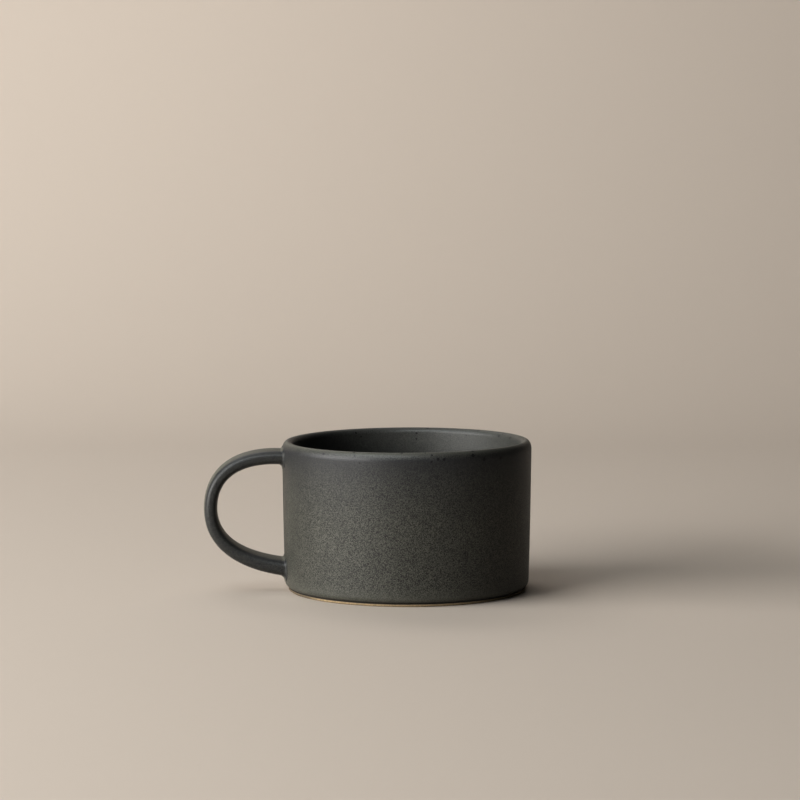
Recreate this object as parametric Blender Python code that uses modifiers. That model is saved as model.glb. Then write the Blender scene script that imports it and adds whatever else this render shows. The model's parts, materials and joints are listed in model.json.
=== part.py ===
"""A wide, low stoneware mug with a strap handle, as the separate pieces that a potter joins.

The cup's axis is +Z, the mug stands on the plane Z = 0, and the handle points along -X.
A turned wall laps round a dished floor, a foot ring of bare clay is let in below them, and
the strap is luted to the wall with a flared fillet of slip at each of its two roots.
"""

import math

import bpy
import numpy as np
from mathutils import Matrix, Vector
from mathutils.geometry import interpolate_bezier

# Driving dimensions, in metres.
RIM_RADIUS = 0.0525  # outside of the wall under the lip
BASE_RADIUS = 0.05145  # outside of the wall just above its lower corner
HEIGHT = 0.0631  # standing plane to the crest of the lip
WALL_THICKNESS = 0.00454  # at the lip, which is a full round inside
SHOULDER = 0.0038  # height over which the wall's outside rounds in to the crest
BELLY = 0.75  # exponent of the wall's taper: below 1 keeps the upper wall nearly upright
CORNER_RADIUS = 0.0026  # rounding of the wall's lower outside corner
GLAZE_LINE = 0.0012  # height where the glazed wall stops and bare clay starts

FLOOR_TOP = 0.0054  # height of the drinking floor
DISH_RADIUS = 0.005  # rounding inside, between floor and wall
INNER_BASE_RADIUS = 0.0469  # inside of the wall where the dish meets it
LAP_RADIUS = 0.049  # the wall's rebate, in which the dished floor's edge sits

FOOT_RADIUS = 0.05
FOOT_INNER_RADIUS = 0.041
FOOT_BEVEL = 0.0005
RECESS = 0.0006  # how far the middle of the underside stands clear of the table
FOOT_HEIGHT = 0.0025

STRAP_WIDTH = 0.017
STRAP_THICKNESS = 0.0056  # at mid handle
UPPER_ROOT_THICKNESS = 0.00625
LOWER_ROOT_THICKNESS = 0.0072
STRAP_SQUARENESS = 3.4  # exponent of the section's superellipse: 2 is an oval, more is boxier
UPPER_ROOT_HEIGHT = 0.0562
LOWER_ROOT_HEIGHT = 0.00965
ROOT_RADIUS = 0.051  # where the strap's middle line starts, a little inside the wall
HANDLE_REACH = 0.0315  # from there out to the bend
BEND_HEIGHT = 0.0345
UPPER_PULL = Vector((0.0214, 0.0016))  # how the strap leaves the upper root: outwards, upwards
LOWER_PULL = Vector((0.0196, 0.0026))  # how it leaves the lower root
BEND_PULL = 0.014  # length over which it turns through the bend, each way

FILLET_RADIUS = 0.0015  # the slip worked round each root
FILLET_EDGE = 0.0004  # thickness of a fillet's thin edge

GAP = 0.0003  # between pieces that touch
TURN_STEPS = 80
LEAD_IN = 0.004  # how far the strap is drawn into the wall before it is trimmed

GLAZE = (0.105, 0.098, 0.080)
LINER_GLAZE = (0.118, 0.115, 0.098)
BARE_CLAY = (0.42, 0.31, 0.21)


def clear_scene():
    for obj in list(bpy.data.objects):
        bpy.data.objects.remove(obj, do_unlink=True)


def new_collection(name, hidden=False):
    collection = bpy.data.collections.new(name)
    collection.hide_render = hidden
    bpy.context.scene.collection.children.link(collection)
    return collection


def principled(name, colour, roughness):
    """A Principled material; each sub-part has its own."""
    material = bpy.data.materials.new(name)
    material.use_nodes = True
    shader = material.node_tree.nodes["Principled BSDF"]
    shader.inputs["Base Color"].default_value = (*colour, 1.0)
    shader.inputs["Roughness"].default_value = roughness
    shader.inputs["Metallic"].default_value = 0.0
    material.diffuse_color = (*colour, 1.0)
    return material


def add_object(name, mesh, collection):
    obj = bpy.data.objects.new(name, mesh)
    collection.objects.link(obj)
    return obj


def smooth(obj, angle=math.radians(40)):
    obj.data.shade_smooth()
    obj.data.set_sharp_from_angle(angle=angle)


def make_cutter(obj):
    obj.hide_render = True
    obj.display_type = "WIRE"
    return obj


def cut(obj, cutter):
    boolean = obj.modifiers.new(f"minus {cutter.name}", "BOOLEAN")
    boolean.operation = "DIFFERENCE"
    boolean.solver = "EXACT"
    boolean.object = cutter


def arc(centre, radius, start, end, steps):
    """Points (radius from the axis, height) on an arc, by angle from the outward direction."""
    angles = np.radians(np.linspace(start, end, steps + 1))
    return [(centre[0] + radius * math.cos(a), centre[1] + radius * math.sin(a)) for a in angles]


def turned(name, profile, collection, closed=True):
    """A solid of revolution. An open profile starts and ends on the axis; a closed one clears it."""
    mesh = bpy.data.meshes.new(name)
    count = len(profile)
    edges = [(i, i + 1) for i in range(count - 1)]
    if closed:
        edges.append((count - 1, 0))
    mesh.from_pydata([(radius, 0.0, height) for radius, height in profile], edges, [])
    obj = add_object(name, mesh, collection)
    screw = obj.modifiers.new("turn", "SCREW")
    screw.axis = "Z"
    screw.angle = math.tau
    screw.steps = TURN_STEPS
    screw.render_steps = TURN_STEPS
    screw.use_merge_vertices = True
    screw.merge_threshold = 0.000001
    screw.use_smooth_shade = True
    return obj


def wall_radius(height):
    """Outside of the wall: rounded at the lip, then drawing in a little towards the base."""
    low = GLAZE_LINE + CORNER_RADIUS
    high = HEIGHT - SHOULDER
    if height > high:
        above = min((height - high) / SHOULDER, 1.0)
        return RIM_RADIUS - WALL_THICKNESS / 2 * (1 - math.sqrt(1 - above**2))
    rise = max((height - low) / (high - low), 0.0)
    return BASE_RADIUS + (RIM_RADIUS - BASE_RADIUS) * rise**BELLY


def outer_profile(clearance=0.0):
    """The wall's outside, from the crest of the lip down to the start of its lower corner."""
    turn = np.radians(np.linspace(90, 0, 8))
    shoulder = HEIGHT - SHOULDER * (1 - np.sin(turn))
    body = np.linspace(HEIGHT - SHOULDER, GLAZE_LINE + CORNER_RADIUS, 7)[1:]
    return [(wall_radius(height) + clearance, height) for height in (*shoulder, *body)]


def build_wall(collection):
    lip = WALL_THICKNESS / 2
    lip_centre = (RIM_RADIUS - lip, HEIGHT - lip)
    corner_centre = (BASE_RADIUS - CORNER_RADIUS, GLAZE_LINE + CORNER_RADIUS)
    lap_top = FLOOR_TOP + DISH_RADIUS + GAP
    profile = arc(lip_centre, lip, 180, 90, 5)
    profile += outer_profile()[1:]
    profile += arc(corner_centre, CORNER_RADIUS, 0, -60, 5)[1:]
    profile += [
        (FOOT_RADIUS, GLAZE_LINE),
        (LAP_RADIUS, GLAZE_LINE),
        (LAP_RADIUS, lap_top),
        (INNER_BASE_RADIUS, lap_top),
    ]
    wall = turned("cup_wall", profile, collection)
    wall.data.materials.append(principled("glazed stoneware, wall", GLAZE, 0.5))
    return wall


def build_floor(collection):
    """The drinking floor, dished up to meet the wall, with a rebate below for the foot ring."""
    dish_top = FLOOR_TOP + DISH_RADIUS
    dish_centre = (INNER_BASE_RADIUS - DISH_RADIUS, dish_top)
    edge = LAP_RADIUS - GAP
    ring_inside = FOOT_INNER_RADIUS - GAP
    profile = [(0.0, FLOOR_TOP)]
    profile += arc(dish_centre, DISH_RADIUS, -90, 0, 6)
    profile += [
        (edge, dish_top),
        (edge, FOOT_HEIGHT + GAP),
        (ring_inside, FOOT_HEIGHT + GAP),
        (ring_inside, RECESS),
        (0.0, RECESS),
    ]
    floor = turned("cup_floor", profile, collection, closed=False)
    floor.data.materials.append(principled("glazed stoneware, floor", LINER_GLAZE, 0.45))
    return floor


def build_foot(collection):
    """The bare ring that the mug stands on, stepped to sit inside the wall's lower edge."""
    step = GLAZE_LINE - GAP
    tongue = LAP_RADIUS - GAP
    profile = [
        (FOOT_INNER_RADIUS, FOOT_HEIGHT),
        (tongue, FOOT_HEIGHT),
        (tongue, step),
        (FOOT_RADIUS, step),
        (FOOT_RADIUS, FOOT_BEVEL),
        (FOOT_RADIUS - FOOT_BEVEL, 0.0),
        (FOOT_INNER_RADIUS + FOOT_BEVEL, 0.0),
        (FOOT_INNER_RADIUS, FOOT_BEVEL),
    ]
    foot = turned("foot_ring", profile, collection)
    foot.data.materials.append(principled("bare stoneware clay", BARE_CLAY, 0.85))
    return foot


def strap_path():
    """The strap's middle line as (distance from the cup's axis, height), even along its length."""
    upper = Vector((ROOT_RADIUS, UPPER_ROOT_HEIGHT))
    bend = Vector((ROOT_RADIUS + HANDLE_REACH, BEND_HEIGHT))
    lower = Vector((ROOT_RADIUS, LOWER_ROOT_HEIGHT))
    rise = Vector((0.0, BEND_PULL))
    points = [upper - UPPER_PULL.normalized() * LEAD_IN]
    points += interpolate_bezier(upper, upper + UPPER_PULL, bend + rise, bend, 120)
    points += interpolate_bezier(bend, bend - rise, lower + LOWER_PULL, lower, 120)[1:]
    points += [lower - LOWER_PULL.normalized() * LEAD_IN]
    line = np.array([point[:2] for point in points])
    travel = np.concatenate([[0.0], np.cumsum(np.linalg.norm(np.diff(line, axis=0), axis=1))])
    even = np.linspace(0.0, travel[-1], 241)
    return np.stack([np.interp(even, travel, line[:, 0]), np.interp(even, travel, line[:, 1])], 1)


class Strap:
    """The strap's surface: a superellipse section swept along the middle line."""

    def __init__(self):
        self.line = strap_path()
        tangent = np.gradient(self.line, axis=0)
        tangent /= np.linalg.norm(tangent, axis=1)[:, None]
        self.out = np.stack([-tangent[:, 1], tangent[:, 0]], 1)
        along = np.linspace(-1.0, 1.0, len(self.line))
        root = np.where(along < 0, UPPER_ROOT_THICKNESS, LOWER_ROOT_THICKNESS)
        swell = (1 - np.cos(along * math.pi)) / 2
        self.thickness = STRAP_THICKNESS + (root - STRAP_THICKNESS) * swell

    def sections(self, angle, grow=0.0):
        """Points at one angle round the section, for every station along the middle line."""
        power = 2 / STRAP_SQUARENESS
        cosine = math.cos(angle)
        sine = math.sin(angle)
        across = math.copysign(abs(cosine) ** power, cosine) * (STRAP_WIDTH / 2 + grow)
        above = math.copysign(abs(sine) ** power, sine) * (self.thickness / 2 + grow)
        place = self.line + self.out * above[:, None]
        return np.stack([-place[:, 0], np.full(len(place), across), place[:, 1]], 1)

    def near_wall(self, angle, grow, clearance, lower):
        """The point at one angle that stands the given clearance off the wall, at either root."""
        points = self.sections(angle, grow)
        points = points[::-1] if lower else points
        points = points[: len(points) // 3]
        wall = np.array([wall_radius(height) for height in points[:, 2]])
        off = np.hypot(points[:, 0], points[:, 1]) - wall
        return Vector([np.interp(clearance, off, points[:, axis]) for axis in range(3)])


def loft(name, rings, collection, looped=False):
    """Skins rings of equal count; a loft that isn't looped is closed with a cap at each end."""
    count = len(rings[0])
    vertices = [tuple(point) for ring in rings for point in ring]
    turns = len(rings) if looped else len(rings) - 1
    faces = []
    for turn in range(turns):
        here = turn * count
        there = (turn + 1) % len(rings) * count
        for i in range(count):
            j = (i + 1) % count
            faces.append((here + i, here + j, there + j, there + i))
    if not looped:
        faces.append(tuple(range(count))[::-1])
        faces.append(tuple(range(len(vertices) - count, len(vertices))))
    mesh = bpy.data.meshes.new(name)
    mesh.from_pydata(vertices, [], faces)
    mesh.validate()
    obj = add_object(name, mesh, collection)
    if volume(mesh) < 0:
        mesh.flip_normals()
    return obj


def volume(mesh):
    mesh.calc_loop_triangles()
    total = 0.0
    for triangle in mesh.loop_triangles:
        a, b, c = (mesh.vertices[i].co for i in triangle.vertices)
        total += a.dot(b.cross(c)) / 6
    return total


def build_strap(strap, wall_cutter, collection):
    stations = np.linspace(0, len(strap.line) - 1, 49).astype(int)
    angles = np.linspace(0.0, math.tau, 28, endpoint=False)
    columns = [strap.sections(angle) for angle in angles]
    rings = [[column[station] for column in columns] for station in stations]
    obj = loft("handle_strap", rings, collection)
    cut(obj, wall_cutter)
    smooth(obj)
    obj.data.materials.append(principled("glazed stoneware, handle", GLAZE, 0.5))
    return obj


def build_fillet(name, strap, lower, collection):
    """The slip worked round a root: an angle-shaped ring with a hollow outer face."""
    reach = GAP + FILLET_EDGE + FILLET_RADIUS
    hollow = arc((reach, reach), FILLET_RADIUS, 180, 270, 4)
    outline = [(GAP, GAP), (GAP, reach), *hollow, (reach, GAP)]
    rings = []
    for angle in np.linspace(0.0, math.tau, 40, endpoint=False):
        rings.append([strap.near_wall(angle, grow, off, lower) for off, grow in outline])
    obj = loft(name, rings, collection, looped=True)
    smooth(obj)
    obj.data.materials.append(principled(f"glazed slip, {name}", GLAZE, 0.5))
    return obj


def main():
    clear_scene()
    parts = new_collection("ceramic_mug")
    cutters = new_collection("cutters", hidden=True)

    build_wall(parts)
    build_floor(parts)
    build_foot(parts)

    skirt = [(0.0, HEIGHT), *outer_profile(GAP)]
    skirt += [(BASE_RADIUS + GAP, 0.0), (0.0, 0.0)]
    wall_cutter = make_cutter(turned("wall_and_gap", skirt, cutters, closed=False))

    strap = Strap()
    build_strap(strap, wall_cutter, parts)
    build_fillet("upper_handle_fillet", strap, False, parts)
    build_fillet("lower_handle_fillet", strap, True, parts)

    assembly = bpy.data.objects.new("mug", None)
    parts.objects.link(assembly)
    for obj in parts.objects:
        if obj is not assembly:
            obj.parent = assembly
            obj.matrix_parent_inverse = Matrix.Identity(4)


main()
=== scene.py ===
"""A low stoneware mug in its finished state: glazed cup, pulled handle and bare clay base."""

import json
import math

import bpy
import numpy as np
from mathutils import Matrix, Vector
from mathutils.geometry import interpolate_bezier


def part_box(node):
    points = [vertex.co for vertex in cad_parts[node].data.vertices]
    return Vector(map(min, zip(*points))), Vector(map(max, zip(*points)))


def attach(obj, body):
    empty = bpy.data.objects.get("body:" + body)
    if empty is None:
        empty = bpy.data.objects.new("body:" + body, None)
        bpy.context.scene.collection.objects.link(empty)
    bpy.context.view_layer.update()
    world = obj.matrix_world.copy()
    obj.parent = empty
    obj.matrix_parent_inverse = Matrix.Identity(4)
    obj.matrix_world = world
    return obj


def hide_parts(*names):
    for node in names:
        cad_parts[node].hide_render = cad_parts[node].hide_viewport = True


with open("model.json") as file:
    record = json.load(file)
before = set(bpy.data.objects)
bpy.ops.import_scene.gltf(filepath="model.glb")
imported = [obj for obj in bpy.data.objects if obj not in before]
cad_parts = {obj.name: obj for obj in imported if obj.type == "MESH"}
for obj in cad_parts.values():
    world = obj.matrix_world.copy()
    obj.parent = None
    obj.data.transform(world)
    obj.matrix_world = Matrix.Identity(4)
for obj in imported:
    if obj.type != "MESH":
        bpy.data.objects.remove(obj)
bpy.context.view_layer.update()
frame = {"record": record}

bl_info = {
    "name": "Stoneware Mug",
    "version": (1, 0, 0),
    "blender": (4, 5, 0),
    "location": "3D View > Sidebar > Mug",
    "description": "Throws, joins and glazes a low stoneware mug round its packed CAD frame",
    "category": "Object",
}

BODY = "root"
WALL_LOW, WALL_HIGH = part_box("cup_wall")
FLOOR_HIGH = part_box("cup_floor")[1]
FOOT_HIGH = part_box("foot_ring")[1]
STRAP_LOW, STRAP_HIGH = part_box("handle_strap")
MOUNTS = {mount["name"]: mount["pos_m"] for mount in frame["record"]["mounts"]}
MM = 0.001

STRAP_THICKNESS = 5.6 * MM
ROOT_RADIUS = 51.0 * MM


def size(name, default, description):
    """A length property in metres."""
    return bpy.props.FloatProperty(
        name=name,
        description=description,
        default=default,
        min=0.0,
        unit="LENGTH",
        precision=5,
    )


def tint(name, default, description):
    """A colour property, from an sRGB hex value."""
    return bpy.props.FloatVectorProperty(
        name=name,
        description=description,
        default=linear(default),
        size=4,
        min=0.0,
        max=1.0,
        subtype="COLOR",
    )


def linear(code):
    """An sRGB hex value as linear red, green, blue and an alpha of 1."""
    channels = [int(code[i : i + 2], 16) / 255 for i in (1, 3, 5)]
    colour = [c / 12.92 if c <= 0.04045 else ((c + 0.055) / 1.055) ** 2.4 for c in channels]
    return [*colour, 1.0]


class MugCup(bpy.types.PropertyGroup):
    """Sizes of the thrown cup."""

    rim_radius: size("Rim radius", WALL_HIGH[0], "Outside of the wall under the lip")
    base_radius: size("Base radius", 51.45 * MM, "Outside of the wall above its lower corner")
    height: size("Height", WALL_HIGH[2], "Standing plane to the crest of the lip")
    wall: size("Wall", 4.54 * MM, "Thickness of the wall at the lip")
    shoulder: size("Shoulder", 3.8 * MM, "Height over which the outside rounds in to the crest")
    belly: bpy.props.FloatProperty(
        name="Belly",
        description="Exponent of the wall's taper: below 1 keeps the upper wall upright",
        default=0.75,
        min=0.2,
        max=2.0,
    )
    corner: size("Corner", 2.6 * MM, "Rounding of the lower outside corner")
    glaze_line: size("Glaze line", WALL_LOW[2], "Height where the glaze stops")
    floor_top: size("Floor", MOUNTS["drinking_floor"][2], "Height of the drinking floor")
    inner_base: size("Inner base radius", 46.9 * MM, "Inside of the wall above the dish")
    dish_top: size("Dish top", FLOOR_HIGH[2], "Height where the dish meets the wall")
    wobble: size("Wobble", 0.15 * MM, "How far hand throwing leaves the wall from a true circle")
    dip: size("Lip dip", 0.45 * MM, "How far the handle's weight pulls the lip down on its side")


class MugHandle(bpy.types.PropertyGroup):
    """Sizes of the pulled handle."""

    width: size("Width", STRAP_HIGH[1] - STRAP_LOW[1], "Width of the strap")
    thickness: size("Thickness", STRAP_THICKNESS, "Thickness of the strap at mid handle")
    upper_thickness: size("Upper thickness", 6.25 * MM, "Thickness at the upper root")
    lower_thickness: size("Lower thickness", 7.2 * MM, "Thickness at the lower root")
    squareness: bpy.props.FloatProperty(
        name="Squareness",
        description="Exponent of the section: 2 is an oval, more is boxier",
        default=3.0,
        min=2.0,
        max=6.0,
    )
    upper_height: size("Upper root", 56.2 * MM, "Height of the middle line at the upper root")
    lower_height: size("Lower root", 9.65 * MM, "Height of the middle line at the lower root")
    root_radius: size("Root radius", ROOT_RADIUS, "Where the middle line starts, inside the wall")
    reach: size(
        "Reach",
        -STRAP_LOW[0] - STRAP_THICKNESS / 2 - ROOT_RADIUS,
        "From there out to the bend",
    )
    bend_height: size("Bend height", 34.5 * MM, "Height of the bend")


class MugFinish(bpy.types.PropertyGroup):
    """Colours of the glaze and the clay."""

    glaze: tint("Glaze", "#191815", "The dark ground of the glaze")
    glaze_dark: tint("Thin glaze", "#232427", "The glaze where it runs thin, as on edges")
    # Also painted on the lip's crest, above the glaze line and on the handle's faces as painted
    # light.
    glaze_pale: tint("Glaze crystals", "#52524A", "The paler grains in the glaze")
    # The pits are painted near black: painted shade inside them.
    pinhole: tint("Pinholes", "#0B0A09", "The small pits where gas broke through the glaze")
    clay: tint("Clay", "#A28E6C", "The bare stoneware of the base")
    # Painted shade under the glaze's edge, a painted contact shadow along the clay's bottom edge and
    # the smear of glaze below the handle all take this colour.
    shade_and_smear_tone: tint("Scorch", "#1E1710", "The clay where the glaze's edge and the kiln shelf marked it")
    backdrop: tint("Backdrop", "#CBC0B4", "The paper sweep that the mug stands on")


def add(tree, kind, inputs=None, **settings):
    """Adds a node with its settings, and a value or a link for each input named."""
    made = tree.nodes.new(kind)
    for name, value in settings.items():
        setattr(made, name, value)
    for key, value in (inputs or {}).items():
        if isinstance(value, bpy.types.NodeSocket):
            tree.links.new(value, made.inputs[key])
        else:
            made.inputs[key].default_value = value
    return made


def finish_of(name, maker):
    """The named material, made the first time that it is asked for."""
    return bpy.data.materials.get(name) or maker(name)


def new_material(name):
    """An empty material, the tree to build in and its output."""
    material = bpy.data.materials.new(name)
    material.use_nodes = True
    tree = material.node_tree
    tree.nodes.clear()
    output = tree.nodes.new("ShaderNodeOutputMaterial")
    return material, tree, output


def satin_glaze(name):
    """Satin matt stoneware glaze, dipped and fired in reduction.

    The eye gets a dark warm grey, finely speckled with paler crystals. Real crystals are about
    0.1 mm, too fine to show, so they are drawn 0.27 mm across. The coat is darker and glossier
    where it runs thin, and paler where it gathers: inside and on the handle's broad faces. The crest
    of the lip, a band just above the glaze line and the handle's faces are also painted paler as
    painted light. A few pinholes up to 1.5 mm across break it near the lip; they are painted near
    black, as painted shade in the pits.
    """
    crystal_width = 0.27 * MM
    crystal_height = 0.05 * MM
    cloud_width = 9 * MM
    pinhole_spacing = 2.4 * MM
    widest_pinhole = 0.32  # its radius, as a share of the spacing
    finish = bpy.context.scene.mug_finish
    material, tree, output = new_material(name)
    place = add(tree, "ShaderNodeTexCoord").outputs["Object"]
    crystal = add(tree, "ShaderNodeTexVoronoi", {"Vector": place, "Scale": 1 / crystal_width})
    shade = add(tree, "ShaderNodeSeparateXYZ", {0: crystal.outputs["Color"]})
    grains = add(
        tree,
        "ShaderNodeMapRange",
        {"Value": shade.outputs["X"], "From Min": 0.2, "From Max": 0.8},
    )
    cloud = add(
        tree,
        "ShaderNodeTexNoise",
        {"Vector": place, "Scale": 1 / cloud_width, "Detail": 2.0, "Roughness": 0.5},
    )
    clouds = add(
        tree,
        "ShaderNodeMapRange",
        {
            "Value": cloud.outputs["Fac"],
            "From Min": 0.3,
            "From Max": 0.7,
            "To Min": 0.88,
            "To Max": 1.04,
        },
    )
    amount = add(
        tree,
        "ShaderNodeMath",
        {0: grains.outputs["Result"], 1: clouds.outputs["Result"]},
        operation="MULTIPLY",
    )
    coat = add(
        tree,
        "ShaderNodeMix",
        {"Factor": amount.outputs[0], "A": finish.glaze, "B": finish.glaze_pale},
        data_type="RGBA",
    )
    # The paler tone: glaze gathered inside, and painted light on the lip's crest, just above the
    # glaze line and on the handle's faces.
    thick = add(tree, "ShaderNodeAttribute", attribute_name="thick")
    gathered_and_lit = add(
        tree,
        "ShaderNodeMix",
        {"Factor": thick.outputs["Fac"], "A": coat.outputs["Result"], "B": finish.glaze_pale},
        data_type="RGBA",
    )
    thin = add(tree, "ShaderNodeAttribute", attribute_name="thin")
    colour = add(
        tree,
        "ShaderNodeMix",
        {"Factor": thin.outputs["Fac"], "A": gathered_and_lit.outputs["Result"], "B": finish.glaze_dark},
        data_type="RGBA",
    )
    pit = add(tree, "ShaderNodeTexVoronoi", {"Vector": place, "Scale": 1 / pinhole_spacing})
    chance = add(tree, "ShaderNodeSeparateXYZ", {0: pit.outputs["Color"]})
    reach = add(
        tree,
        "ShaderNodeMapRange",
        {"Value": chance.outputs["X"], "From Min": 0.6, "To Max": widest_pinhole},
    )
    rim = add(tree, "ShaderNodeAttribute", attribute_name="rim")
    width = add(
        tree,
        "ShaderNodeMath",
        {0: reach.outputs["Result"], 1: rim.outputs["Fac"]},
        operation="MULTIPLY",
    )
    pinhole = add(
        tree,
        "ShaderNodeMath",
        {0: pit.outputs["Distance"], 1: width.outputs[0]},
        operation="LESS_THAN",
    )
    # Painted shade: each pinhole is a flat near-black dot, with no pit in the surface.
    pitted = add(
        tree,
        "ShaderNodeMix",
        {"Factor": pinhole.outputs[0], "A": colour.outputs["Result"], "B": finish.pinhole},
        data_type="RGBA",
    )
    rough = add(
        tree,
        "ShaderNodeMapRange",
        {"Value": thin.outputs["Fac"], "To Min": 0.48, "To Max": 0.42},
    )
    relief = add(
        tree,
        "ShaderNodeBump",
        {"Height": shade.outputs["Y"], "Distance": crystal_height, "Strength": 1.0},
    )
    shader = add(
        tree,
        "ShaderNodeBsdfPrincipled",
        {
            "Base Color": pitted.outputs["Result"],
            "Roughness": rough.outputs["Result"],
            "IOR": 1.5,
            "Specular IOR Level": 0.32,
            "Normal": relief.outputs["Normal"],
        },
    )
    tree.links.new(shader.outputs["BSDF"], output.inputs["Surface"])
    return material


def bare_clay(name):
    """Unglazed stoneware, trimmed on the wheel and rubbed smooth.

    The eye gets a warm buff, quite matt, with darker and paler grains of grog under 0.8 mm. It is
    painted darker in a line under the glaze's edge and along the bottom edge, as painted shade and a
    painted contact shadow, and below the handle, where a smear of glaze runs down.
    """
    grog_width = 0.8 * MM
    grog_height = 0.08 * MM
    finish = bpy.context.scene.mug_finish
    material, tree, output = new_material(name)
    place = add(tree, "ShaderNodeTexCoord").outputs["Object"]
    grog = add(
        tree,
        "ShaderNodeTexNoise",
        {"Vector": place, "Scale": 1 / grog_width, "Detail": 3.0, "Roughness": 0.6},
    )
    ramp = add(
        tree,
        "ShaderNodeMapRange",
        {"Value": grog.outputs["Fac"], "From Min": 0.35, "From Max": 0.7},
    )
    dark = [channel * 0.62 for channel in finish.clay[:3]] + [1.0]
    body = add(
        tree,
        "ShaderNodeMix",
        {"Factor": ramp.outputs["Result"], "A": dark, "B": finish.clay},
        data_type="RGBA",
    )
    # Painted shade under the glaze's edge, a painted contact shadow along the bottom edge, and a
    # smear of glaze below the handle.
    stain = add(tree, "ShaderNodeAttribute", attribute_name="stain")
    colour = add(
        tree,
        "ShaderNodeMix",
        {"Factor": stain.outputs["Fac"], "A": body.outputs["Result"], "B": finish.shade_and_smear_tone},
        data_type="RGBA",
    )
    relief = add(
        tree,
        "ShaderNodeBump",
        {"Height": grog.outputs["Fac"], "Distance": grog_height, "Strength": 0.6},
    )
    shader = add(
        tree,
        "ShaderNodeBsdfPrincipled",
        {
            "Base Color": colour.outputs["Result"],
            "Roughness": 0.88,
            "Normal": relief.outputs["Normal"],
        },
    )
    tree.links.new(shader.outputs["BSDF"], output.inputs["Surface"])
    return material


def backdrop_paper(name):
    """Matt background paper: one warm pale tone with no sheen."""
    finish = bpy.context.scene.mug_finish
    material, tree, output = new_material(name)
    shader = add(
        tree,
        "ShaderNodeBsdfPrincipled",
        {"Base Color": finish.backdrop, "Roughness": 0.9, "Specular IOR Level": 0.2},
    )
    tree.links.new(shader.outputs["BSDF"], output.inputs["Surface"])
    return material


def arc(centre, radius, start, end, steps):
    """Points (radius from the axis, height) on an arc, by angle from the outward direction."""
    angles = np.radians(np.linspace(start, end, steps + 1))
    return [(centre[0] + radius * math.cos(a), centre[1] + radius * math.sin(a)) for a in angles]


def line(start, end, steps):
    """Points along a straight run, without its first."""
    run = np.array(end) - start
    return [tuple(np.array(start) + run * t) for t in np.linspace(0, 1, steps + 1)[1:]]


def wall_radius(cup, height):
    """Outside of the wall: rounded at the lip, then drawing in a little towards the base."""
    low = cup.glaze_line + cup.corner
    high = cup.height - cup.shoulder
    height = np.asarray(height)
    rise = np.clip((height - low) / (high - low), 0.0, 1.0)
    above = np.clip((height - high) / cup.shoulder, 0.0, 1.0)
    body = cup.base_radius + (cup.rim_radius - cup.base_radius) * rise**cup.belly
    return body - cup.wall / 2 * (1 - np.sqrt(1 - above**2))


def cup_profile(cup):
    """The cup's section from the middle of its floor, over the lip and back under the base.

    The glaze ends in a small rolled edge, and what lies above the bare base is closed off.
    """
    lip = cup.wall / 2
    dish = cup.dish_top - cup.floor_top
    dish_centre = (cup.inner_base - dish, cup.dish_top)
    lip_centre = (cup.rim_radius - lip, cup.height - lip)
    corner_centre = (cup.base_radius - cup.corner, cup.glaze_line + cup.corner)
    under = arc(corner_centre, cup.corner, 0, -60, 8)
    edge = np.array(under[-1])
    lap = cup.glaze_line + 0.55 * MM
    rolled_edge = ((-0.17, -0.08), (-0.35, -0.06), (-0.5, 0.1))
    points = [(0.0, cup.floor_top)]
    points += line(points[-1], (dish_centre[0], cup.floor_top), 12)
    points += arc(dish_centre, dish, -90, 0, 12)[1:]
    points += line(points[-1], (cup.rim_radius - cup.wall, lip_centre[1]), 16)
    points += arc(lip_centre, lip, 180, 90, 12)[1:]
    turn = np.radians(np.linspace(90, 0, 15)[1:])
    heights = [*(cup.height - cup.shoulder * (1 - np.sin(turn)))]
    heights += [*np.linspace(heights[-1], corner_centre[1], 22)[1:]]
    points += [(float(wall_radius(cup, height)), float(height)) for height in heights]
    points += under[1:]
    points += [tuple(edge + np.array(step) * MM) for step in rolled_edge]
    points += [(points[-1][0] - 0.15 * MM, lap), (cup.inner_base, lap), (0.0, lap)]
    return points


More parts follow.
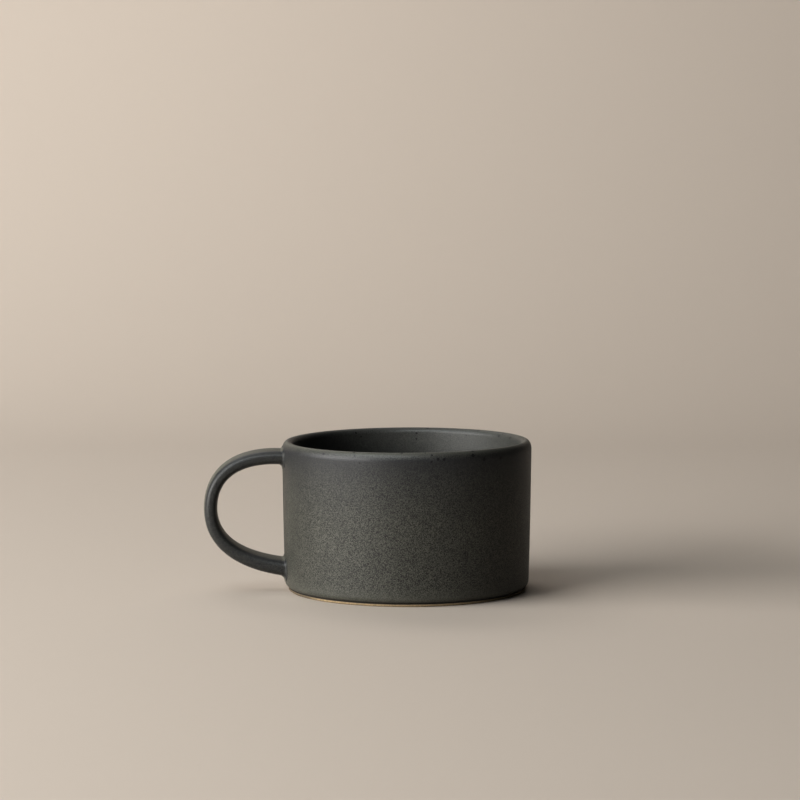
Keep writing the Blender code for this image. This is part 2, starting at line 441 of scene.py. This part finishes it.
def throwing_tree(material):
    """Geometry Nodes that turn a section round the axis, as a wheel does.

    The section comes in as a polyline in the XZ plane. Each of its points becomes one ring, so
    the section's own spacing is kept. A slow noise round the axis pulls the wall in here and
    there, never out, which leaves the wobble of hand throwing. The lip dips on the -X side.
    """
    tree = bpy.data.node_groups.new("throw on the wheel", "GeometryNodeTree")
    sockets = tree.interface
    sockets.new_socket("Section", in_out="INPUT", socket_type="NodeSocketGeometry")
    for name, kind, value in (
        ("Turn steps", "NodeSocketInt", 240),
        ("Wobble", "NodeSocketFloat", 0.0),
        ("Wobble seed", "NodeSocketFloat", 4.0),
        ("Lip dip", "NodeSocketFloat", 0.0),
        ("Lip height", "NodeSocketFloat", 1.0),
    ):
        sockets.new_socket(name, in_out="INPUT", socket_type=kind).default_value = value
    sockets.new_socket("Mug", in_out="OUTPUT", socket_type="NodeSocketGeometry")
    given = add(tree, "NodeGroupInput")
    section = given.outputs["Section"]
    count = add(tree, "GeometryNodeAttributeDomainSize", {"Geometry": section}, component="MESH")
    columns = add(tree, "ShaderNodeMath", {0: given.outputs["Turn steps"], 1: 1.0}, operation="ADD")
    grid = add(
        tree,
        "GeometryNodeMeshGrid",
        {
            "Size X": 1.0,
            "Size Y": 1.0,
            "Vertices X": columns.outputs[0],
            "Vertices Y": count.outputs["Point Count"],
        },
    )
    index = add(tree, "GeometryNodeInputIndex")
    row = add(
        tree,
        "ShaderNodeMath",
        {0: index.outputs["Index"], 1: count.outputs["Point Count"]},
        operation="MODULO",
    )
    column = add(
        tree,
        "ShaderNodeMath",
        {0: index.outputs["Index"], 1: count.outputs["Point Count"]},
        operation="DIVIDE",
    )
    whole = add(tree, "ShaderNodeMath", {0: column.outputs[0]}, operation="FLOOR")
    turn = add(
        tree,
        "ShaderNodeMath",
        {0: whole.outputs[0], 1: given.outputs["Turn steps"]},
        operation="DIVIDE",
    )
    angle = add(tree, "ShaderNodeMath", {0: turn.outputs[0], 1: math.tau}, operation="MULTIPLY")
    point = add(
        tree,
        "GeometryNodeSampleIndex",
        {
            "Geometry": section,
            "Value": add(tree, "GeometryNodeInputPosition").outputs["Position"],
            "Index": row.outputs[0],
        },
        data_type="FLOAT_VECTOR",
        domain="POINT",
    )
    turned = add(
        tree,
        "ShaderNodeVectorRotate",
        {"Vector": point.outputs["Value"], "Angle": angle.outputs[0]},
        rotation_type="Z_AXIS",
    )
    noise = add(
        tree,
        "ShaderNodeTexNoise",
        {
            "Vector": turned.outputs["Vector"],
            "W": given.outputs["Wobble seed"],
            "Scale": 22.0,
            "Detail": 1.0,
        },
        noise_dimensions="4D",
    )
    pull = add(
        tree,
        "ShaderNodeMath",
        {0: noise.outputs["Fac"], 1: given.outputs["Wobble"]},
        operation="MULTIPLY",
    )
    flat = add(
        tree,
        "ShaderNodeVectorMath",
        {0: turned.outputs["Vector"], 1: (1.0, 1.0, 0.0)},
        operation="MULTIPLY",
    )
    outward = add(tree, "ShaderNodeVectorMath", {0: flat.outputs["Vector"]}, operation="NORMALIZE")
    shift = add(
        tree,
        "ShaderNodeVectorMath",
        {0: outward.outputs["Vector"], "Scale": pull.outputs[0]},
        operation="SCALE",
    )
    drawn = add(
        tree,
        "ShaderNodeVectorMath",
        {0: turned.outputs["Vector"], 1: shift.outputs["Vector"]},
        operation="SUBTRACT",
    )
    bearing = add(tree, "ShaderNodeSeparateXYZ", {0: outward.outputs["Vector"]})
    side = add(
        tree,
        "ShaderNodeMapRange",
        {"Value": bearing.outputs["X"], "From Min": 1.0, "From Max": -1.0},
    )
    place = add(tree, "ShaderNodeSeparateXYZ", {0: drawn.outputs["Vector"]})
    level = add(
        tree,
        "ShaderNodeMath",
        {0: place.outputs["Z"], 1: given.outputs["Lip height"]},
        operation="DIVIDE",
    )
    pull_side = add(tree, "ShaderNodeMath", {0: side.outputs["Result"], 1: 2.0}, operation="POWER")
    pull_level = add(tree, "ShaderNodeMath", {0: level.outputs[0], 1: 2.0}, operation="POWER")
    share = add(
        tree,
        "ShaderNodeMath",
        {0: pull_side.outputs[0], 1: pull_level.outputs[0]},
        operation="MULTIPLY",
    )
    drop = add(
        tree,
        "ShaderNodeMath",
        {0: share.outputs[0], 1: given.outputs["Lip dip"]},
        operation="MULTIPLY",
    )
    down = add(tree, "ShaderNodeCombineXYZ", {"Z": drop.outputs[0]})
    finished = add(
        tree,
        "ShaderNodeVectorMath",
        {0: drawn.outputs["Vector"], 1: down.outputs["Vector"]},
        operation="SUBTRACT",
    )
    placed = add(
        tree,
        "GeometryNodeSetPosition",
        {"Geometry": grid.outputs["Mesh"], "Position": finished.outputs["Vector"]},
    )
    closed = add(
        tree,
        "GeometryNodeMergeByDistance",
        {"Geometry": placed.outputs["Geometry"], "Distance": 0.001 * MM},
    )
    real = add(tree, "GeometryNodeRealizeInstances", {"Geometry": closed.outputs["Geometry"]})
    painted = add(
        tree,
        "GeometryNodeSetMaterial",
        {"Geometry": real.outputs["Geometry"], "Material": material},
    )
    add(tree, "NodeGroupOutput", {"Mug": painted.outputs["Geometry"]})
    return tree


def set_inputs(modifier, **values):
    """Sets a Geometry Nodes modifier's inputs by their names' identifiers."""
    for item in modifier.node_group.interface.items_tree:
        key = item.name.lower().replace(" ", "_")
        if item.item_type == "SOCKET" and item.in_out == "INPUT" and key in values:
            modifier[item.identifier] = values[key]


def signed_volume(mesh):
    """Volume inside the mesh, negative when its faces point inwards."""
    mesh.calc_loop_triangles()
    corners = np.array([[mesh.vertices[i].co for i in t.vertices] for t in mesh.loop_triangles])
    return np.einsum("ij,ij->i", corners[:, 0], np.cross(corners[:, 1], corners[:, 2])).sum() / 6


def keep_mesh(name, mesh, replaced):
    """Adds a finished mesh as a piece that rides on the mug and stands for its CAD nodes."""
    if signed_volume(mesh) < 0:
        mesh.flip_normals()
    mesh.shade_smooth()
    piece = bpy.data.objects.new(name, mesh)
    bpy.context.scene.collection.objects.link(piece)
    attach(piece, BODY)
    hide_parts(*replaced)
    return piece


def thrown_mesh(name, section, tree, **values):
    """Runs the throwing tree on a section and returns the plain mesh that it makes."""
    outline = bpy.data.meshes.new(name)
    edges = [(i, i + 1) for i in range(len(section) - 1)]
    outline.from_pydata([(radius, 0.0, height) for radius, height in section], edges, [])
    holder = bpy.data.objects.new(name, outline)
    bpy.context.scene.collection.objects.link(holder)
    modifier = holder.modifiers.new("throw on the wheel", "NODES")
    modifier.node_group = tree
    set_inputs(modifier, **values)
    graph = bpy.context.evaluated_depsgraph_get()
    mesh = bpy.data.meshes.new_from_object(holder.evaluated_get(graph))
    bpy.data.objects.remove(holder, do_unlink=True)
    bpy.data.meshes.remove(outline)
    mesh.name = name
    return mesh


def mark(mesh, name, amounts):
    """Stores an amount from 0 to 1 at each point of a mesh."""
    attribute = mesh.attributes.new(name, "FLOAT", "POINT")
    attribute.data.foreach_set("value", np.clip(amounts, 0.0, 1.0).astype(np.float32))


def points_of(mesh):
    """A mesh's points, one row each."""
    places = np.empty(len(mesh.vertices) * 3, np.float32)
    mesh.vertices.foreach_get("co", places)
    return places.reshape(-1, 3).astype(float)


def heights(cup, above_line, below_lip):
    """Heights on the cup from two lists in mm: up from the glaze line, then down from the lip."""
    low = [cup.glaze_line + up * MM for up in above_line]
    return low + [cup.height - down * MM for down in below_lip]


def mark_cup(cup, mesh):
    """Marks where the glaze is thin, where it is paler, and the lip, where it has pinholes.

    Outside, it runs thin down to mid wall and is darker on its rolled edge. The crest of the lip
    and a band just above the glaze line are painted paler: a painted highlight from the light above
    and painted light from the floor. Inside it is even.
    """
    wall_depth = 1.2 * MM
    thin_inside = 0.45
    thick_inside = 0.45
    places = points_of(mesh)
    height = places[:, 2]
    outside = np.hypot(places[:, 0], places[:, 1]) > wall_radius(cup, height) - wall_depth
    thin_at = heights(cup, [0.3, 1.0, 31.8], [13.1, 3.1, 0.5])
    thin = np.interp(height, thin_at, [1.0, 0.0, 0.0, 0.38, 0.82, 0.0])
    # Painted light: the crest of the lip is painted paler as a highlight from above, and a band just
    # above the glaze line is painted paler as light from the floor.
    painted_light_at = heights(cup, [0.8, 1.8, 6.8], [2.3, 0.7])
    thick = np.interp(height, painted_light_at, [0.5, 0.45, 0.0, 0.0, 0.7])
    mark(mesh, "thin", np.where(outside, thin, thin_inside))
    mark(mesh, "thick", np.where(outside, thick, np.maximum(thick, thick_inside)))
    mark(mesh, "rim", np.interp(height, heights(cup, [], [7.1, 4.1]), [0.0, 1.0]))


class MUG_OT_cup(bpy.types.Operator):
    """Throw the cup, glazed inside and out down to the glaze line"""

    bl_idname = "mug.cup"
    bl_label = "Glazed cup"

    def execute(self, context):
        cup = context.scene.mug_cup
        tree = throwing_tree(finish_of("satin stoneware glaze", satin_glaze))
        shape = {"wobble": cup.wobble, "lip_dip": cup.dip, "lip_height": cup.height}
        mesh = thrown_mesh("glazed_cup", cup_profile(cup), tree, **shape)
        if not mesh.polygons:
            raise RuntimeError("the throwing tree made no cup")
        mark_cup(cup, mesh)
        keep_mesh("glazed_cup", mesh, ["cup_wall", "cup_floor"])
        return {"FINISHED"}


def strap_line(handle):
    """The strap's middle line as (distance from the cup's axis, height), evenly spaced."""
    upper = Vector((handle.root_radius, handle.upper_height))
    bend = Vector((handle.root_radius + handle.reach, handle.bend_height))
    lower = Vector((handle.root_radius, handle.lower_height))
    upper_pull = Vector((21.4 * MM, 1.6 * MM))
    lower_pull = Vector((19.6 * MM, 2.6 * MM))
    bend_pull = Vector((0.0, 14.0 * MM))
    lead_in = 4 * MM
    curve_points = 200
    stations = 801
    points = [upper - upper_pull.normalized() * lead_in]
    points += interpolate_bezier(upper, upper + upper_pull, bend + bend_pull, bend, curve_points)
    points += interpolate_bezier(bend, bend - bend_pull, lower + lower_pull, lower, curve_points)[1:]
    points += [lower - lower_pull.normalized() * lead_in]
    path = np.array([point[:2] for point in points])
    travel = np.concatenate([[0.0], np.cumsum(np.linalg.norm(np.diff(path, axis=0), axis=1))])
    even = np.linspace(0.0, travel[-1], stations)
    return np.stack([np.interp(even, travel, path[:, i]) for i in range(2)], 1)


class Strap:
    """The strap's surface, a superellipse swept along the middle line."""

    def __init__(self, handle, cup):
        self.handle = handle
        self.cup = cup
        self.path = strap_line(handle)
        tangent = np.gradient(self.path, axis=0)
        tangent /= np.linalg.norm(tangent, axis=1)[:, None]
        self.outward = np.stack([-tangent[:, 1], tangent[:, 0]], 1)
        along = np.linspace(-1.0, 1.0, len(self.path))
        root = np.where(along < 0, handle.upper_thickness, handle.lower_thickness)
        swell = (1 - np.cos(along * math.pi)) / 2
        self.thickness = handle.thickness + (root - handle.thickness) * swell

    def skin(self, angle, grow=0.0):
        """Points at one angle round the section, at every station along the middle line."""
        power = 2 / self.handle.squareness
        cosine = math.cos(angle)
        sine = math.sin(angle)
        across = math.copysign(abs(cosine) ** power, cosine) * (self.handle.width / 2 + grow)
        above = math.copysign(abs(sine) ** power, sine) * (self.thickness / 2 + grow)
        place = self.path + self.outward * above[:, None]
        return np.stack([-place[:, 0], np.full(len(place), across), place[:, 1]], 1)

    def off_wall(self, points):
        """How far each point stands off the cup's wall."""
        return np.hypot(points[:, 0], points[:, 1]) - wall_radius(self.cup, points[:, 2])

    def root_station(self, points, distance, lower):
        """Where along the strap, from 0 to 1, a line of skin leaves the wall by a distance."""
        third = len(points) // 3
        stations = np.linspace(0.0, 1.0, len(points))
        if lower:
            points = points[::-1]
            stations = stations[::-1]
        return float(np.interp(distance, self.off_wall(points[:third]), stations[:third]))

    def at(self, points, station):
        """The point of a line of skin at one station along the strap, from 0 to 1."""
        stations = np.linspace(0.0, 1.0, len(points))
        return np.array([np.interp(station, stations, points[:, i]) for i in range(3)])


def fillet_radius(angle, lower):
    """Radius of the slip fillet, wider over and under the strap's roots than on their flanks."""
    outer_side = 2.4 * MM if lower else 1.0 * MM
    inner_side = 1.2 * MM if lower else 1.9 * MM
    flank = 0.7 * MM
    side = outer_side if math.sin(angle) > 0 else inner_side
    return flank + (side - flank) * abs(math.sin(angle))


def handle_rows(strap, angles):
    """Rows of points from inside the wall, over one fillet, along the strap and back in.

    A fillet's first rows stand a little proud of the wall, as worked slip does.
    """
    columns = []
    bury = 1.2 * MM
    lip = 0.12 * MM
    turn = np.radians(np.linspace(0, 90, 11))
    middle_rows = 110
    for angle in angles:
        ends = []
        for lower in (False, True):
            radius = fillet_radius(angle, lower)
            offsets = radius - radius * np.sin(turn)
            distances = radius - radius * np.cos(turn)
            offsets = np.concatenate([[radius + lip * 0.5, radius + lip * 0.3], offsets])
            distances = np.concatenate([[-bury, 0.0], distances + lip * (1 - np.sin(turn))])
            points = []
            for off, away in zip(offsets, distances):
                skin = strap.skin(angle, off)
                points.append(strap.at(skin, strap.root_station(skin, away, lower)))
            bare = strap.skin(angle)
            ends.append((points, strap.root_station(bare, radius, lower), bare))
        (upper, first, bare), (lower_points, last, _) = ends
        stations = np.linspace(first, last, middle_rows + 2)[1:-1]
        middle = [strap.at(bare, station) for station in stations]
        columns.append(upper + middle + lower_points[::-1])
    return np.array(columns).transpose(1, 0, 2)


def skin_rows(name, rows):
    """A closed mesh over rows of points, with a flat cap on each end row."""
    count = rows.shape[1]
    mesh = bpy.data.meshes.new(name)
    faces = []
    for row in range(len(rows) - 1):
        for i in range(count):
            j = (i + 1) % count
            low, high = row * count, (row + 1) * count
            faces.append((low + i, low + j, high + j, high + i))
    faces.append(tuple(range(count))[::-1])
    faces.append(tuple(range((len(rows) - 1) * count, len(rows) * count)))
    mesh.from_pydata(rows.reshape(-1, 3).tolist(), [], faces)
    return mesh


def mark_handle(mesh, angles):
    """Marks the glaze: it breaks dark on the edges; the faces are paler, gathered glaze and painted
    light.
    """
    turned_away = np.abs(np.cos(angles))  # 0 mid face, 1 mid flank
    thin_at = [0.0, 0.6, 0.7, 0.8, 0.9, 1.0]
    thin = np.interp(turned_away, thin_at, [0.0, 0.0, 0.9, 0.9, 0.5, 0.6])
    # Painted light and gathered glaze: both broad faces are painted paler, standing in for the light
    # on the faces turned up to the lamps.
    thick = np.interp(turned_away, [0.0, 0.55, 0.7], [0.75, 0.75, 0.0])
    rows = len(mesh.vertices) // len(angles)
    mark(mesh, "thin", np.tile(thin, rows))
    mark(mesh, "thick", np.tile(thick, rows))


class MUG_OT_handle(bpy.types.Operator):
    """Pull the strap, bend it and lute it to the wall with a fillet of slip at each root"""

    bl_idname = "mug.handle"
    bl_label = "Pulled handle"

    def execute(self, context):
        scene = context.scene
        strap = Strap(scene.mug_handle, scene.mug_cup)
        angles = np.linspace(0.0, math.tau, 96, endpoint=False)
        rows = handle_rows(strap, angles)
        mesh = skin_rows("glazed_handle", rows)
        mesh.materials.append(finish_of("satin stoneware glaze", satin_glaze))
        mark_handle(mesh, angles)
        nodes = ["handle_strap", "upper_handle_fillet", "lower_handle_fillet"]
        keep_mesh("glazed_handle", mesh, nodes)
        return {"FINISHED"}


def base_profile(cup):
    """The base's section: a shallow recess inside a ring with softened edges.

    Its top is closed off just inside the glazed cup, and its shoulder tucks in under the glaze.
    """
    recess = MOUNTS["base_centre"][2]
    inner = 41.0 * MM
    outer = FOOT_HIGH[0]
    soft = 0.45 * MM
    top = cup.glaze_line + 0.5 * MM
    shoulder = cup.glaze_line - 0.1 * MM
    tucked_in = ((-0.45, 0.25), (-0.1, 0.0), (0.0, -0.1))
    points = [(0.0, top)]
    points += line(points[-1], (outer - 0.75 * MM, top), 6)
    points += [(outer + out * MM, shoulder + up * MM) for out, up in tucked_in]
    points += line(points[-1], (outer, soft), 5)
    points += arc((outer - soft, soft), soft, 0, -90, 8)[1:]
    points += line(points[-1], (inner + soft, 0.0), 6)
    points += arc((inner + soft, soft), soft, 270, 180, 6)[1:]
    points += line(points[-1], (inner - soft, recess), 3)
    points += line(points[-1], (0.0, recess), 24)
    return points


def mark_base(mesh):
    """Marks painted shade under the glaze and along the bottom edge, and a glaze smear by the handle.
    """
    ring_depth = 1.2 * MM
    places = points_of(mesh)
    outside = np.hypot(places[:, 0], places[:, 1]) > FOOT_HIGH[0] - ring_depth
    # Painted shade: a line under the glaze's edge and a contact shadow along the bottom edge, with a
    # little all round between them.
    shade_at = np.array([0.0, 0.1, 0.18, 0.9, 1.05]) * MM
    stain = np.interp(places[:, 2], shade_at, [1.0, 0.7, 0.25, 0.15, 1.0])
    smear = np.interp(-places[:, 0] / FOOT_HIGH[0], [0.72, 0.86], [0.0, 0.7])
    mark(mesh, "stain", np.where(outside, np.maximum(stain, smear), 0.0))


class MUG_OT_base(bpy.types.Operator):
    """Trim the base: a bare clay ring round a shallow recess"""

    bl_idname = "mug.base"
    bl_label = "Bare clay base"

    def execute(self, context):
        cup = context.scene.mug_cup
        tree = throwing_tree(finish_of("bare stoneware clay", bare_clay))
        mesh = thrown_mesh("clay_base", base_profile(cup), tree, wobble=cup.wobble)
        if not mesh.polygons:
            raise RuntimeError("the throwing tree made no base")
        mark_base(mesh)
        keep_mesh("clay_base", mesh, ["foot_ring"])
        return {"FINISHED"}


VIEW_TURN = math.radians(-3.4)  # the handle comes this far towards the viewer
CAMERA_PLACE = (-2.865 * MM, -1200 * MM, 191.1 * MM)
CAMERA_PITCH = math.radians(5.305)
CAMERA_LENS = 129.14


def turned_to_view(place):
    """A place given as if the viewer stood at -Y, turned to where the viewer stands."""
    return Matrix.Rotation(VIEW_TURN, 4, "Z") @ Vector(place)


def area_light(name, bearing, height, distance, width, tall, power, colour=(1.0, 1.0, 1.0)):
    """A soft panel that faces the mug.

    Its bearing from the viewer's side, negative to the left, and its height are in degrees.
    """
    bearing = math.radians(bearing)
    height = math.radians(height)
    target = Vector((0.0, 0.0, 30 * MM))
    level = math.cos(height)
    side = Vector((math.sin(bearing) * level, -math.cos(bearing) * level, math.sin(height)))
    data = bpy.data.lights.new(name, "AREA")
    data.shape = "RECTANGLE"
    data.size = width
    data.size_y = tall
    data.energy = power
    data.color = colour
    light = bpy.data.objects.new(name, data)
    light.location = turned_to_view(target + side * distance)
    light.rotation_euler = turned_to_view(side).to_track_quat("Z", "Y").to_euler()
    light.visible_camera = False
    bpy.context.scene.collection.objects.link(light)
    return light


def sweep_mesh(name):
    """A sheet of paper that lies flat under the mug and curves up behind it."""
    front, back = -2.5, 0.55
    radius = 0.8
    top = 2.6
    half = 1.1
    outline = [(front, 0.0)]
    outline += [(front + (back - front) * t, 0.0) for t in np.linspace(0, 1, 12)[1:]]
    for a in np.radians(np.linspace(0, 90, 24))[1:]:
        outline.append((back + radius * math.sin(a), radius - radius * math.cos(a)))
    outline.append((back + radius, top))
    vertices = [(x, y, z) for y, z in outline for x in (-half, half)]
    faces = [(2 * i, 2 * i + 1, 2 * i + 3, 2 * i + 2) for i in range(len(outline) - 1)]
    mesh = bpy.data.meshes.new(name)
    mesh.from_pydata(vertices, [], faces)
    mesh.transform(Matrix.Rotation(VIEW_TURN, 4, "Z"))
    mesh.shade_smooth()
    return mesh


class MUG_OT_stage(bpy.types.Operator):
    """Set the camera, the soft window light and the paper sweep"""

    bl_idname = "mug.stage"
    bl_label = "Stage"

    def execute(self, context):
        scene = context.scene
        pale = tuple(scene.mug_finish.backdrop)
        scene.view_settings.view_transform = "Standard"
        scene.view_settings.gamma = 0.86
        camera_data = bpy.data.cameras.new("camera")
        camera_data.lens = CAMERA_LENS
        camera_data.sensor_width = 36.0
        camera_data.clip_end = 20.0
        camera = bpy.data.objects.new("camera", camera_data)
        camera.location = turned_to_view(CAMERA_PLACE)
        camera.rotation_euler = (math.radians(90) - CAMERA_PITCH, 0.0, VIEW_TURN)
        scene.collection.objects.link(camera)
        scene.camera = camera

        sweep = bpy.data.objects.new("paper_sweep", sweep_mesh("paper_sweep"))
        sweep.data.materials.append(backdrop_paper("matt background paper"))
        scene.collection.objects.link(sweep)

        area_light("window", -63, 15, 1.7, width=1.9, tall=0.57, power=68.0, colour=(1.0, 0.99, 0.98))
        area_light("skylight", -60, 65, 1.5, width=0.6, tall=0.6, power=2.4, colour=(0.85, 0.95, 1.0))
        area_light("back left fill", -150, 45, 1.5, width=0.6, tall=0.6, power=2.8)
        area_light("back fill", 180, 55, 1.5, width=0.8, tall=0.6, power=1.6)
        area_light("ceiling", 0, 90, 1.5, width=1.0, tall=1.0, power=2.0, colour=(0.95, 0.98, 1.0))
        sheen = area_light(
            "sheen card", -36, 48, 1.5, width=1.9, tall=0.4, power=36.0, colour=(0.9, 0.96, 1.0)
        )
        sheen.visible_diffuse = False  # it adds gloss and no light
        world = bpy.data.worlds.new("room")
        scene.world = world
        world.use_nodes = True
        world.cycles_visibility.diffuse = False
        world.cycles_visibility.glossy = False
        world.node_tree.nodes["Background"].inputs["Color"].default_value = pale
        return {"FINISHED"}


class MUG_PT_panel(bpy.types.Panel):
    """The mug's pieces and sizes."""

    bl_idname = "MUG_PT_panel"
    bl_label = "Stoneware mug"
    bl_space_type = "VIEW_3D"
    bl_region_type = "UI"
    bl_category = "Mug"

    def draw(self, context):
        """Lists the operators and every size and colour."""
        for operator in OPERATORS:
            self.layout.operator(operator.bl_idname)
        for group in (context.scene.mug_cup, context.scene.mug_handle, context.scene.mug_finish):
            box = self.layout.box()
            for name in group.__annotations__:
                box.prop(group, name)


GROUPS = {"mug_cup": MugCup, "mug_handle": MugHandle, "mug_finish": MugFinish}
OPERATORS = (MUG_OT_stage, MUG_OT_cup, MUG_OT_handle, MUG_OT_base)


def register():
    """Adds the classes, and the sizes and colours on the scene."""
    for name, group in GROUPS.items():
        bpy.utils.register_class(group)
        setattr(bpy.types.Scene, name, bpy.props.PointerProperty(type=group))
    for kind in (*OPERATORS, MUG_PT_panel):
        bpy.utils.register_class(kind)


def unregister():
    """Takes away what register adds."""
    for kind in (MUG_PT_panel, *reversed(OPERATORS)):
        bpy.utils.unregister_class(kind)
    for name, group in GROUPS.items():
        delattr(bpy.types.Scene, name)
        bpy.utils.unregister_class(group)


def main():
    """Makes the stage and the mug."""
    register()
    bpy.ops.mug.stage()
    bpy.ops.mug.cup()
    bpy.ops.mug.handle()
    bpy.ops.mug.base()


if __name__ == "__main__":
    main()
